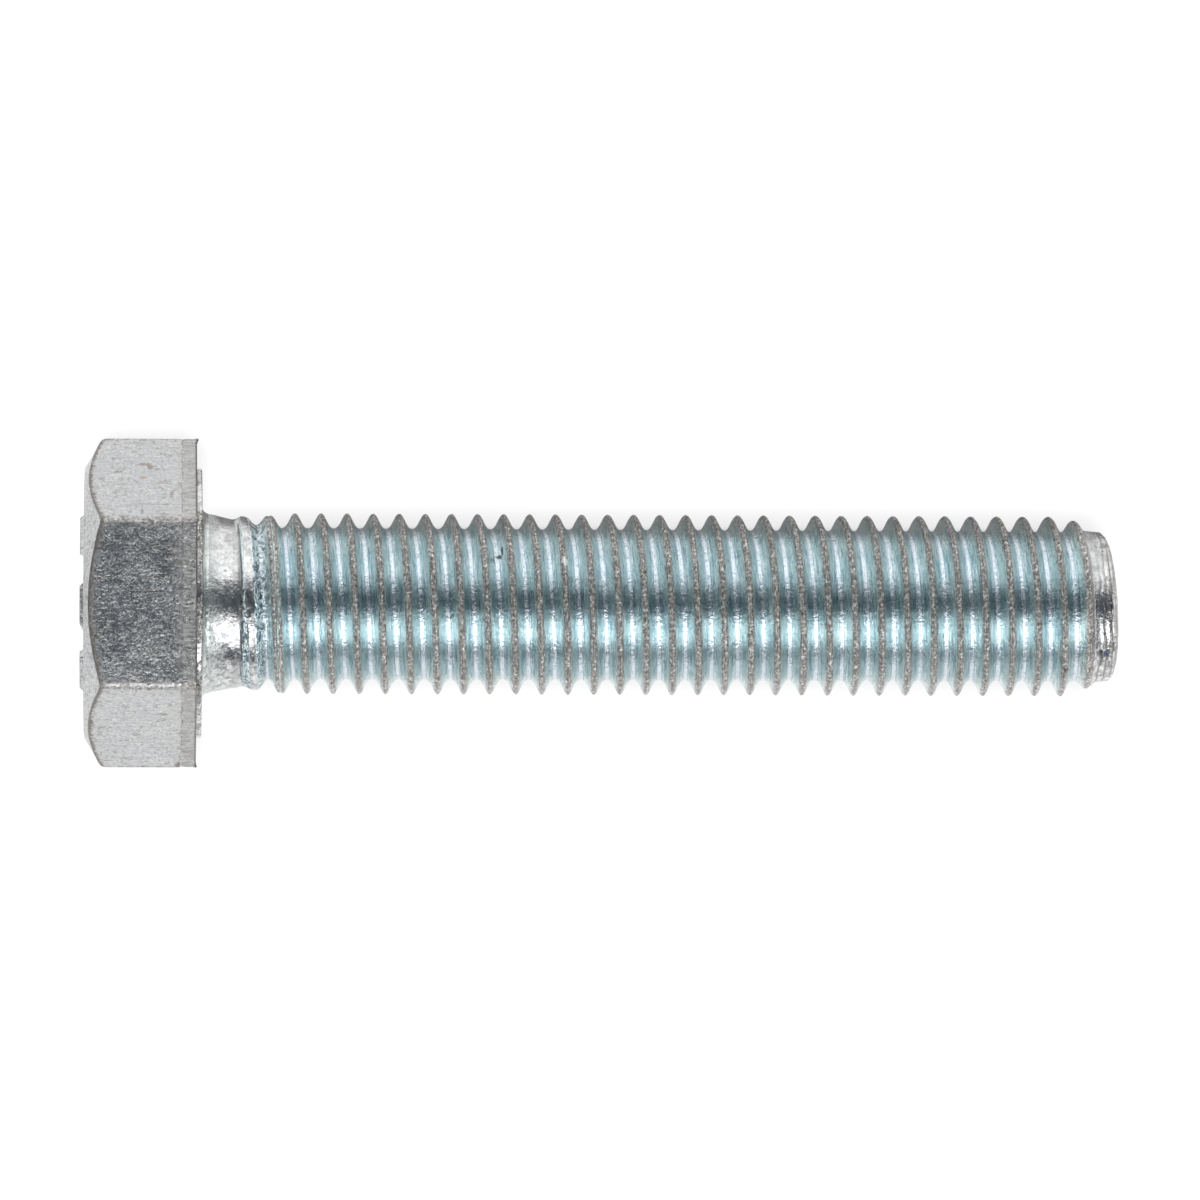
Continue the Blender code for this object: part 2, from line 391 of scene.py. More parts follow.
def hexagon_radius(angles):
    """Distance from the axis to the hexagon's side, its corners rounded."""
    from_corner = from_near_corner(angles)
    flat = APOTHEM / np.cos(math.pi / 6 - np.abs(from_corner))
    centre = (APOTHEM - CORNER_RADIUS) / math.cos(math.pi / 6)
    inside = np.clip(CORNER_RADIUS**2 - (centre * np.sin(from_corner)) ** 2, 0.0, None)
    rounded = centre * np.cos(from_corner) + np.sqrt(inside)
    reach = math.atan2(CORNER_RADIUS * 0.5, centre + CORNER_RADIUS * math.cos(math.pi / 6))
    return np.where(np.abs(from_corner) < reach, rounded, flat)


def near_corner(angles, width):
    """1 at the hexagon's corners, falling to 0 at a width in degrees."""
    return np.clip(1.0 - np.abs(np.degrees(from_near_corner(angles))) / width, 0.0, 1.0)


def bar_height(radius, angles):
    """Height of the raised bars over the outer face."""
    degrees = np.degrees(angles) % 360.0
    across = smoothstep(BAR_HALF_WIDTH - np.abs(radius - BAR_RADIUS), 0.0, 0.16)
    height = 0.0
    for centre in BAR_CENTRES:
        height = np.maximum(height, smoothstep(BAR_HALF_ANGLE - np.abs(degrees - centre), 0, 1.6))
    return BAR_HEIGHT * across * height


def add_outer_face(skin, angles):
    """The flat circle with its raised bars; returns its last ring."""
    centre = skin.add(np.array((0.0, 0.0, 0.0)))
    inner = (0.8, 1.8, 3.0, 4.2, 5.2, 6.0, 6.6)
    across = [BAR_HALF_WIDTH - inset for inset in (0.0, 0.05, 0.1, 0.16)] + [0.2]
    bars = [BAR_RADIUS - half for half in across] + [BAR_RADIUS + half for half in across[::-1]]
    outer = (8.6, 9.1, 9.6, OUTER_FACE_RADIUS - 0.12)
    last = None
    for radius in (*inner, *bars, *outer):
        flat = around(0.0, radius, angles)
        height = bar_height(radius, angles)
        dents = 0.012 * rough(flat, 0.45, 3)
        edge_mark = 0.55 * np.clip(height / BAR_HEIGHT, 0, 1) * (height < 0.97 * BAR_HEIGHT)
        flat[:, 0] = dents - height
        ring = skin.ring(flat, edge=edge_mark)
        if last is None:
            skin.fan(int(centre), ring[::-1], outer_face_chart, 0)
        else:
            skin.band(last, ring, outer_face_chart, 0)
        last = ring
    return last


def add_chamfer(skin, angles, last):
    """The turned chamfer, from the outer circle to the six curves on the flats."""
    side = hexagon_radius(angles)
    wave = 0.02 * rough(around(0.0, 10.0, angles), 0.5, 5)
    depth = (side - OUTER_FACE_RADIUS) * CHAMFER_SLOPE
    for share in (0.03, 0.12, 0.35, 0.6, 0.82):
        radius = OUTER_FACE_RADIUS + (side - EDGE_ROUND - OUTER_FACE_RADIUS) * share
        x = (depth + wave) * share
        mark = 0.5 if share < 0.1 else 0.0
        ring = skin.ring(around(x, radius, angles), edge=mark)
        skin.band(last, ring, outer_face_chart, 0)
        last = ring
    worn = EDGE_ROUND * (1.0 + 0.5 * rough(around(3.0, 12.0, angles), 0.9, 6))
    worn = worn + 0.22 * near_corner(angles, 3.0) * np.cos(angles) ** 8
    ring = skin.ring(around(depth - worn * 0.5, side - worn, angles), edge=0.5)
    skin.band(last, ring, outer_face_chart, 0)
    middle = around(depth + worn * 0.12, side - worn * 0.3, angles)
    edge = skin.ring(middle, edge=1.0)
    skin.band(ring, edge, outer_face_chart, 0)
    return edge, depth, worn


def add_flats(skin, angles, last, depth, worn):
    """The six flats, with their trimmed band and the flash at its corners."""
    side = hexagon_radius(angles)
    corner = near_corner(angles, 3.0)
    from_corner = (1.0 - near_corner(angles, 30.0)) * math.radians(30.0) * APOTHEM
    spans = (0.0, 0.05, 0.12, *np.linspace(0.2, 1.0, 9))
    start = depth + worn
    rings = [start + (TRIM_START - 0.12 - start) * span for span in spans]
    ragged = 0.16 * rough(around(0.0, 12.0, angles), 1.3, 8, 3)
    for shift in (0.0, 0.08, 0.2, 0.45, 0.72, 0.9):
        rings.append(TRIM_START + ragged * (1.0 - shift) + shift)
    last_v = 0.0
    for x, worn_edge in zip(rings, [0.7, 0.25] + [0.0] * (len(rings) - 2)):
        flat = around(x, side, angles)
        sag = 0.016 * rough(flat, 0.28, 9, 3) + 0.004 * rough(flat, 1.4, 10)
        trim = TRIM_DEPTH * smoothstep(x, TRIM_START + ragged - 0.05, TRIM_START + ragged + 0.1)
        groove = bell(x - TRIM_START - ragged, GROOVE_WIDTH)
        tear = trim / TRIM_DEPTH * 0.03 * rough(flat * (0.5, 1, 1), 2.4, 11)
        radius = side + sag * (1.0 - corner) - trim - GROOVE_DEPTH * groove + tear
        # Painted shade: a darker line on the two corners at +Y and -Y, for the shade they reflect
        # where the head turns away at its outline
        outline_shade_corners = near_corner(angles, 1.6) * np.cos(angles) ** 8
        edge_mark = 0.55 * near_corner(angles, 4.0) + 0.4 * outline_shade_corners
        edge_mark = np.maximum(edge_mark, np.maximum(0.6 * groove, worn_edge))
        inside = np.minimum(np.minimum(x - start, TRIM_START - x), from_corner)
        border = 1.0 - smoothstep(inside, 0.0, 0.9)
        torn = smoothstep(x, TRIM_START, TRIM_START + 0.1)
        marks = {"edge": edge_mark, "torn": torn, "border": border}
        ring = skin.ring(around(x, radius, angles), **marks)
        v = float(np.mean(x))
        skin.band(last, ring, flats_chart, 0, (last_v, v))
        last, last_v = ring, v
    flash = bell(np.degrees(from_near_corner(angles + math.radians(0.4))), 1.7)
    uneven = 0.6 + 0.7 * rough(around(8.0, 12.0, angles), 0.35, 12)
    lip = flash * np.clip(uneven, 0.0, 1.3)
    for x, out, mark in ((8.4, 0.0, 0.4), (8.5, -0.03, 0.9), (FLAT_END, -0.12, 1.0)):
        radius = side - TRIM_DEPTH + out + lip * 0.1
        ring_x = x + lip * 0.14
        ring = skin.ring(around(ring_x, radius, angles), edge=mark, torn=1.0)
        skin.band(last, ring, flats_chart, 0, (last_v, x))
        last, last_v = ring, x
    return last


def add_bearing_side(skin, angles, last):
    """The hexagon's bearing side, the washer face and the first fillet ring."""
    side = hexagon_radius(angles)
    for share in (0.06, 0.3, 0.7, 0.94):
        radius = side - 0.2 - (side - 0.2 - WASHER_RADIUS) * share
        x = FLAT_END + 0.012 * rough(around(0.0, radius, angles), 0.6, 14)
        ring = skin.ring(around(x, radius, angles), torn=0.5)
        skin.band(last, ring, bearing_face_chart, 0)
        last = ring
    nicks = 0.03 * np.clip(rough(around(2.0, 10.0, angles), 0.8, 15), -0.2, 1.0)
    steps = ((0.03, 0.03), (0.12, 0.0), (0.28, 0.0), (0.37, 0.04), (WASHER_HEIGHT, 0.12))
    for rise, inset in steps:
        radius = WASHER_RADIUS - inset - nicks
        mark = 0.3 if rise > 0.3 else 0.1
        stain = np.clip(mark + 1.2 * rough(around(rise, 10.0, angles), 0.6, 17), 0.0, 0.9)
        ring = skin.ring(around(FLAT_END + rise, radius, angles), wear=stain)
        skin.band(last, ring, bearing_face_chart, 1)
        last = ring
    even = angles[0] + np.arange(HEAD_COLUMNS) * math.tau / HEAD_COLUMNS
    for radius, share in ((9.6, 0.25), (8.9, 0.5), (8.2, 0.8), (7.7, 1.0)):
        turned = angles + (even - angles) * share
        x = HEAD_HEIGHT + 0.006 * rough(around(4.0, radius, turned), 0.7, 16)
        ring = skin.ring(around(x, radius, turned))
        skin.band(last, ring, bearing_face_chart, 1)
        last = ring
    return last


# Shank


def shank_angles():
    """Angles of the shank's columns, from -Z round to -Z."""
    return -math.pi / 2 + np.arange(SHANK_COLUMNS) * math.tau / SHANK_COLUMNS


def shank_ring(skin, x, radius, **marks):
    """A closed ring of the shank."""
    return skin.ring(around(x, radius, shank_angles()), **marks)


def add_fillet(skin, last):
    """The fillet between the washer face and the neck."""
    last_v = None
    for degrees in (4, 18, 34, 50, 66, 80):
        angle = math.radians(degrees)
        x = HEAD_HEIGHT + FILLET_RADIUS * (1 - math.cos(angle))
        radius = NECK_START_RADIUS + FILLET_RADIUS * (1 - math.sin(angle))
        ring = shank_ring(skin, x, radius, tint=0.45, run=shank_angles() * 7.0, across=x)
        v = 0.2 + degrees / 90 * 0.9
        if last_v is None:
            skin.halving_band(last, ring, bearing_face_chart, 1)
        else:
            skin.band(last, ring, shank_chart, 1, (last_v, v))
        last, last_v = ring, v
    return last, last_v


def thread_rows():
    """One pitch of the thread's form: (distance from the crest, that distance to the nearest)."""
    rising = [0.0, *HALF_FORM, PITCH / 2]
    falling = [PITCH - place for place in reversed(HALF_FORM)]
    return [(place, min(place, PITCH - place)) for place in (*rising, *falling)]


def thread_height(distance, half_width, flank_run):
    """Height of the thread's form, 1 on the crest and 0 in the root."""
    flank = 1.0 - (distance - half_width) / flank_run
    return soft_max(soft_min(flank, 1.0, CREST_SOFTNESS), 0.0, ROOT_SOFTNESS)


def thread_places():
    """The spiral's vertices on -Z: x, place in the pitch, distance from a crest, and turn."""
    first_crest = CREST_AT_Y - PITCH / 4
    turn = math.floor((SPIRAL_START - first_crest) / PITCH)
    places = []
    while first_crest + turn * PITCH <= SPIRAL_END:
        for place, distance in thread_rows():
            x = first_crest + turn * PITCH + place
            if SPIRAL_START <= x <= SPIRAL_END:
                places.append((x, place, distance, turn))
        turn += 1
    return places


def thread_surface(places):
    """The spiral's points, a row of one turn for each of its places, and their marks."""
    share = np.arange(SHANK_COLUMNS) / SHANK_COLUMNS
    start_x, place, distance, turn = (np.array(column)[:, None] for column in zip(*places))
    x = start_x + PITCH * share
    at_y = start_x + PITCH / 4               # x of the row on the +Y side
    run = (turn + share) * TURN_LENGTH
    zero = np.zeros_like(run)
    length = np.stack((run, zero, zero), axis=-1)
    helix = np.stack((run, distance + zero, zero), axis=-1)

    # The form: flanks, crests with their laps, and the wider ridges of the run-out
    wobble = 0.02 * rough(length, 1.1, 20)
    broad = 0.13 * (1.0 - smoothstep(at_y, COLLAR + 2.5, COLLAR + 3.5))
    flank_run = FLANK_RUN + COLLAR_RISE * (1.0 - smoothstep(at_y, COLLAR - 0.3, COLLAR))
    height = thread_height(distance, CREST_HALF_WIDTH + wobble + broad, flank_run)
    root = along(ROOT_LINE, x)
    crest = np.maximum(along(CREST_LINE, x), root) + 0.014 * rough(length, 0.7, 21)
    band = CREST_BAND + broad + 0.05 * rough(length, 2.5, 25) + 0.03 * rough(length, 9.0, 26)
    on_crest = smoothstep(band - distance, -0.05, 0.08)
    second = stretch(at_y, COLLAR + 1.2, COLLAR + 1.6, COLLAR + 2.4, COLLAR + 2.8)
    lap = 0.03 * np.clip(0.25 + 1.1 * rough(length, 0.5, 22), 0.0, 1.0)
    lap = lap * bell(distance, 0.09) * smoothstep(x, 15.0, 17.0)
    lap = lap + 0.07 * second * bell(distance, 0.12)
    coarse = 0.018 * rough(helix, 3.0, 23) * on_crest
    radius = root + height * (crest - root) - lap + coarse

    # The torn valley of the run-out, and the folds and slant of the end
    torn = smoothstep(distance, 0.3, 0.42) * stretch(x, *TORN_VALLEY)
    radius = radius + torn * 0.06 * rough(helix * (1, 2.4, 0), 1.5, 24, 3)
    folded = smoothstep(x, *FOLDED)
    unfolded = around(x, radius, shank_angles())
    fold = np.sin(math.tau * x / RIDGE_SPACING + 2.2 * rough(unfolded, 0.22, 30))
    radius = radius + folded * (0.012 * fold + 0.02 * rough(unfolded, 1.0, 31, 3))
    lean = POINT_SLANT * smoothstep(x, *SLANTED) * radius * np.cos(shank_angles())

    # What the materials are told
    strip = stretch(at_y, COLLAR - 0.52, COLLAR - 0.44, COLLAR - 0.26, COLLAR - 0.2)
    shredded = strip * stretch(share, 0.5, 0.56, 0.82, 0.9)
    tint = smoothstep(x, *TINTED[:2]) * (1.0 - 0.95 * smoothstep(x, *TINTED[2:]))
    bare = 0.75 * smoothstep(at_y, COLLAR + 0.8, COLLAR + 1.5)
    wear = on_crest * (bare + 0.25 * smoothstep(at_y, COLLAR + 2.6, COLLAR + 3.4))
    wear = wear * (1.0 - 0.8 * second * bell(distance, 0.1)) * (1.0 - 0.8 * folded)
    veil = smoothstep(VEIL_REACH + broad + 2.0 * wobble - distance, 0.0, 0.4)
    marks = {
        "tint": np.maximum(tint, np.maximum(torn * 0.8, strip * 0.7)),
        "wear": wear,
        "veil": veil * smoothstep(x, 13.0, 15.0),
        "torn": np.maximum(torn, shredded),
        "border": stretch(x, *DULL_STRIP),
        "folds": folded,
        "reach": x - POINT_PROFILE[0][0],
        "run": run,
        "across": place * FLANK_LENGTH,
    }
    return around(x - lean, radius, shank_angles()), marks


def add_thread(skin, last, last_v):
    """The right-hand thread with its run-out, wound as one strip from the neck to the point.

    Returns the strip's last row, the vertices of its first column from there on, and where the row
    lies on the chart.
    """
    places = thread_places()
    points, marks = thread_surface(places)
    first = skin.add(points, **marks)
    per_turn = len(thread_rows())
    ids = np.concatenate((first, np.full((len(places), 1), -1)), axis=1)
    ids[:-per_turn, -1] = first[per_turn:, 0]
    end = len(places) - per_turn
    xs = np.array([entry[0] for entry in places])
    arc = last_v + WEDGE_SHEET + (xs - xs[0]) * TURN_SHEET / PITCH
    for row in range(end - 1):
        skin.band(ids[row], ids[row + 1], shank_chart, 1, arc[row:row + 2])
    whole_columns = (0.0, 1.0 - 1 / SHANK_COLUMNS)
    skin.band(last[:-1], ids[0, :-1], shank_chart, 1, (last_v, arc[0]), whole_columns)
    seam = np.concatenate((last[-2:], first[:per_turn + 1, 0]))
    skin.fan(ids[0, -2], seam, shank_chart, 1, arc[0])
    return ids[end - 1], first[end - 1:, 0], arc[end - 1]


def join_point(skin, spiral_end, ring):
    """The wedge between the spiral's last turn and the point's first ring."""
    row, first_column, v = spiral_end
    whole_columns = (1 / SHANK_COLUMNS, 1.0)
    skin.band(row[1:], ring[1:], shank_chart, 1, (v, v + WEDGE_SHEET), whole_columns)
    seam = np.concatenate(([ring[1], ring[0]], first_column[::-1]))
    skin.fan(row[1], seam, shank_chart, 1, v)


def add_point(skin, spiral_end):
    """The rounded, slightly slanted end of the shank, with folds running round it."""
    angles = shank_angles()
    xs, radii = (np.array(column) for column in zip(*POINT_PROFILE))
    lengths = np.concatenate(([0.0], np.cumsum(np.hypot(np.diff(xs), np.diff(radii)))))
    places = lengths[-1] * (np.arange(POINT_RINGS) / (POINT_RINGS - 1)) ** POINT_CROWDING
    last = None
    for place in places:
        x, radius = np.interp(place, lengths, xs), np.interp(place, lengths, radii)
        smooth = around(x, radius, angles)
        fold = np.sin(math.tau * place / RIDGE_SPACING + 2.2 * rough(smooth, 0.22, 30))
        crumple = 0.03 * rough(smooth * (1.0, 0.7, 0.7), 1.0, 31, 3)
        ridge = smoothstep(place, 0.0, 0.15) * (0.012 * fold + crumple)
        lean = POINT_SLANT * smoothstep(x, *SLANTED) * radius * np.cos(angles)
        # Matt crest colour over the point, most round its rim
        end_darkening = 0.1 + 0.45 * bell(place - 0.95, 0.45) + 0.9 * rough(smooth, 1.5, 33)
        marks = {
            "wear": 0.7 * np.clip(end_darkening, 0.0, 1.0),
            "folds": 1.0 - 0.8 * smoothstep(place, 1.0, 2.5),
            "reach": place,
            "run": angles * 5.0,
            "across": place,
        }
        points = around(x - lean + ridge, radius + ridge * 0.8, angles)
        ring = skin.ring(points, **marks)
        if last is None:
            join_point(skin, spiral_end, ring)
        else:
            skin.band(last, ring, point_chart, 1)
        last = ring
    hub = skin.add(np.array((POINT_PROFILE[-1][0], 0.0, 0.0)), wear=0.2, torn=0.3)
    skin.fan(int(hub), last, point_chart, 1)


def bolt_surface():
    """The whole bolt as one closed mesh."""
    skin = Skin()
    angles = head_angles()
    last = add_outer_face(skin, angles)
    last, depth, worn = add_chamfer(skin, angles, last)
    last = add_flats(skin, angles, last, depth, worn)
    last = add_bearing_side(skin, angles, last)
    last, last_v = add_fillet(skin, last)
    spiral_end = add_thread(skin, last, last_v)
    add_point(skin, spiral_end)
    return skin.to_object("bolt_surface")


# Materials


class Nodes:
    """Short names for building a material's node tree."""

    def __init__(self, material):
        self.tree = material.node_tree
        self.shader = self.tree.nodes["Principled BSDF"]

    def make(self, kind, inputs=None, **settings):
        """A node with its inputs set to values or linked to sockets."""
        node = self.tree.nodes.new(kind)
        for key, value in settings.items():
            setattr(node, key, value)
        for key, value in (inputs or {}).items():
            self.feed(node.inputs[key], value)
        return node

    def feed(self, socket, value):
        """Sets a socket, or links another socket to it."""
        if isinstance(value, bpy.types.NodeSocket):
            self.tree.links.new(value, socket)
        else:
            socket.default_value = value

    def mark(self, name):
        """One of the numbers that the mesh holds for each vertex."""
        return self.make("ShaderNodeAttribute", attribute_name=name).outputs["Fac"]

    def maths(self, operation, a, b=0.0, c=0.0):
        """A sum, product or other operation."""
        return self.make("ShaderNodeMath", {0: a, 1: b, 2: c}, operation=operation).outputs[0]

    def times(self, a, b):
        """The product of two values."""
        return self.maths("MULTIPLY", a, b)

    def plus(self, a, b):
        """The sum of two values."""
        return self.maths("ADD", a, b)

    def times_plus(self, a, b, c):
        """The product of two values, plus a third."""
        return self.maths("MULTIPLY_ADD", a, b, c)

    def spread(self, value, low, high, to_low=0.0, to_high=1.0):
        """Maps a range of values onto another, clamped."""
        inputs = {"Value": value, "From Min": low, "From Max": high}
        inputs.update({"To Min": to_low, "To Max": to_high})
        return self.make("ShaderNodeMapRange", inputs).outputs["Result"]

    def noise(self, vector, scale, detail=2.0, roughness=0.5, distortion=0.0):
        """Noise from 0 to 1."""
        inputs = {"Vector": vector, "Scale": scale, "Detail": detail}
        inputs.update({"Roughness": roughness, "Distortion": distortion})
        return self.make("ShaderNodeTexNoise", inputs).outputs["Fac"]

    def stretched(self, vector, scale, turn=(0.0, 0.0, 0.0)):
        """A vector scaled by axis, for grain."""
        inputs = {"Vector": vector, "Scale": scale, "Rotation": turn}
        return self.make("ShaderNodeMapping", inputs).outputs["Vector"]

    def mix(self, share, first, second, blend="MIX"):
        """A blend of two colours, each a socket or three numbers."""
        inputs = {"Factor": share}
        for key, colour in ((6, first), (7, second)):
            inputs[key] = (*colour, 1.0) if isinstance(colour, tuple) else colour
        node = self.make("ShaderNodeMix", inputs, data_type="RGBA", blend_type=blend)
        return node.outputs[2]

    def ramp(self, value, stops):
        """A colour ramp from (place, colour) stops."""
        node = self.make("ShaderNodeValToRGB", {"Fac": value})
        elements = node.color_ramp.elements
        while len(elements) < len(stops):
            elements.new(0.5)
        for element, (place, colour) in zip(elements, stops):
            element.position = place
            element.color = (*colour, 1.0)
        return node.outputs["Color"]

    def vector(self, operation, a, b=(0.0, 0.0, 0.0)):
        """The outputs of an operation on vectors."""
        return self.make("ShaderNodeVectorMath", {0: a, 1: b}, operation=operation).outputs

    def outside_box(self, place, box):
        """Distance from a flat box (low x, high x, low y, high y), 0 inside it."""
        centre = ((box[0] + box[1]) / 2, (box[2] + box[3]) / 2, 0.0)
        half = ((box[1] - box[0]) / 2, (box[3] - box[2]) / 2, 1.0)
        offset = self.vector("ABSOLUTE", self.vector("SUBTRACT", place, centre)[0])[0]
        over = self.vector("MAXIMUM", self.vector("SUBTRACT", offset, half)[0])[0]
        return self.vector("LENGTH", over)["Value"]

    def spot(self, place, centre, size):
        """1 inside a ragged ellipsoid round a place, in millimetres, and 0 outside it."""
        place = self.stretched(place, (1 / MM, 1 / MM, 1 / MM))
        scaled = self.vector("DIVIDE", self.vector("SUBTRACT", place, centre)[0], size)[0]
        uneven = self.times_plus(self.noise(place, 3.5, 2.0, 0.7), 1.6, -0.8)
        return self.spread(self.plus(self.vector("LENGTH", scaled)["Value"], uneven), 1.15, 0.75)

    def bump(self, height, unit):
        """A bump from heights counted in a unit given in metres."""
        inputs = {"Height": height, "Distance": unit, "Strength": 1.0}
        return self.make("ShaderNodeBump", inputs).outputs["Normal"]


def new_material(name):
    """A material with a Principled shader, and its node helper."""
    material = bpy.data.materials.new(name)
    material.use_nodes = True
    return material, Nodes(material)


def head_material():
    """Zinc on the forged head: mottled, brushed, scratched, darker and browner at its worn edges,
    with painted shade on its two corners at +Y and -Y.
    """
    material, n = new_material("head_zinc")
    place = n.make("ShaderNodeTexCoord").outputs["Object"]
    edge = n.mark("edge")
    torn = n.mark("torn")
    border = n.mark("border")
    mottle = n.noise(place, 4700.0, 4.0, 0.7, 0.3)
    clumps = n.noise(place, 1500.0, 2.0, 0.6, 0.8)
    blotches = n.noise(place, 330.0, 4.0, 0.65, 0.6)
    border = n.times(border, n.spread(n.noise(place, 1300.0, 3.0, 0.7), 0.36, 0.56))
    streaks = n.noise(n.stretched(place, (450.0, 6800.0, 6800.0)), 1.0, 2.0, 0.65)
    pits = n.spread(n.noise(place, 1900.0, 2.0, 0.65, 0.8), 0.6, 0.65)
    drag = n.noise(n.stretched(place, (210.0, 4600.0, 4600.0), (0.25, 0.2, 0.1)), 1.0, 1.0)
    scratches = n.spread(drag, 0.67, 0.73)
    grey = n.ramp(mottle, [
        (0.3, (0.31, 0.33, 0.36)), (0.5, (0.545, 0.55, 0.553)), (0.68, (0.72, 0.72, 0.71)),
    ])
    grey = n.mix(n.spread(blotches, 0.45, 0.66, 0.0, 0.45), grey, (0.44, 0.45, 0.465))
    grey = n.mix(n.times(border, 0.55), grey, (0.58, 0.565, 0.55))
    grey = n.mix(n.spread(streaks, 0.53, 0.65, 0.0, 0.5), grey, (0.38, 0.37, 0.36))
    grey = n.mix(n.times(pits, 0.7), grey, (0.32, 0.30, 0.28))
    grey = n.mix(n.times(scratches, 0.6), grey, (0.33, 0.30, 0.27))
    for spot, size, hue in HEAD_SPOTS:
        grey = n.mix(n.times(n.spot(place, spot, size), 0.8), grey, hue)
    tears = n.noise(n.stretched(place, (1100.0, 5200.0, 5200.0)), 1.0, 3.0, 0.65)
    furrows = n.times(n.spread(tears, 0.44, 0.6, 0.1, 0.95), torn)
    grey = n.mix(furrows, grey, (0.36, 0.35, 0.34))
    ragged = n.times_plus(n.noise(place, 3800.0, 2.0, 0.75), 1.3, -0.65)
    # The edge mark darkens worn edges, and on the corners at +Y and -Y it is painted shade
    rim = n.spread(n.plus(edge, ragged), 0.35, 0.7, 0.0, 0.92)
    colour = n.mix(rim, grey, (0.20, 0.18, 0.16))
    n.feed(n.shader.inputs["Base Color"], colour)
    n.shader.inputs["Metallic"].default_value = 1.0
    gloss = n.spread(mottle, 0.3, 0.7, 0.17, 0.27)
    gloss = n.plus(gloss, n.times(rim, 0.2))
    gloss = n.plus(gloss, n.times(border, 0.12))
    n.feed(n.shader.inputs["Roughness"], gloss)
    calm = n.spread(border, 0.0, 1.0, 1.0, 0.85)
    calm = n.times(calm, n.spread(blotches, 0.35, 0.65, 1.2, 0.75))
    height = n.times(n.times_plus(clumps, 0.8, mottle), calm)
    height = n.times_plus(streaks, 0.1, height)
    height = n.times_plus(pits, -0.3, height)
    height = n.times_plus(scratches, -0.08, height)
    height = n.times_plus(n.times(tears, torn), 1.2, height)
    n.feed(n.shader.inputs["Normal"], n.bump(height, HEAD_GRAIN))
    return material


def silver_zinc(n, place, lumps, reach, border):
    """Bare silver zinc of neck and point: lumpy, smudged, stained on its -Y side, darker and browner
    over the end.
    """
    silver = n.ramp(lumps, [
        (0.34, (0.43, 0.43, 0.43)), (0.5, (0.66, 0.655, 0.65)), (0.66, (0.81, 0.805, 0.79)),
    ])
    smudges = n.spread(n.noise(place, 620.0, 3.0, 0.7, 0.5), 0.5, 0.6, 0.0, 0.5)
    silver = n.mix(smudges, silver, (0.43, 0.43, 0.43))
    side = n.make("ShaderNodeSeparateXYZ", {0: place}).outputs["Y"]
    stains = n.spread(n.noise(place, 2300.0, 3.0, 0.7, 0.2), 0.51, 0.57, 0.0, 0.85)
    stains = n.times(stains, n.spread(side, -0.0008, -0.0020))
    silver = n.mix(stains, silver, (0.20, 0.21, 0.24))
    # Darker and browner over the end, past its first ring
    end_darkening = n.spread(n.noise(place, 1200.0, 3.0, 0.7), 0.4, 0.55, 0.1, 0.75)
    end_darkening = n.times(n.spread(reach, 0.3, 0.75), end_darkening)
    silver = n.mix(end_darkening, silver, (0.30, 0.28, 0.26))
    return n.mix(n.times(border, 0.45), silver, (0.40, 0.41, 0.41))


def blue_zinc(n, helix, across, lines, fine):
    """Teal flanks streaked along the helix, and in each root a pale line between blue edges: the pale
    line is partly the root's pale plating and partly a painted highlight of the light in the root.
    """
    broad = n.noise(n.stretched(helix, (0.15, 1.6, 1.0)), 1.0, 2.0, 0.5)
    level = n.maths("DIVIDE", n.maths("ABSOLUTE", n.plus(across, -FLANK_LENGTH)), FLANK_LENGTH)
    teal = n.ramp(n.plus(level, n.times_plus(broad, 0.7, -0.35)), [
        (0.1, (0.54, 0.67, 0.70)), (0.4, (0.57, 0.695, 0.70)), (0.75, (0.61, 0.725, 0.70)),
        (0.95, (0.67, 0.735, 0.69)),
    ])
    teal = n.mix(n.spread(lines, 0.53, 0.6, 0.0, 0.75), teal, (0.84, 0.88, 0.90))
    teal = n.mix(n.spread(lines, 0.46, 0.38, 0.0, 0.75), teal, (0.25, 0.38, 0.44))
    grains = n.spread(fine, 0.46, 0.38)
    teal = n.mix(n.times(grains, 0.5), teal, (0.25, 0.37, 0.41))
    root = n.plus(level, n.times_plus(lines, 0.12, -0.06))
    teal = n.mix(n.spread(root, 0.26, 0.17, 0.0, 0.6), teal, (0.33, 0.47, 0.60))
    # Pale root line: partly the root's own pale plating, partly a painted highlight of the light
    # reflected in the root
    pale = n.times(n.spread(root, 0.165, 0.125), n.spread(grains, 0.0, 1.0, 0.95, 0.3))
    return n.mix(pale, teal, (0.74, 0.79, 0.83))


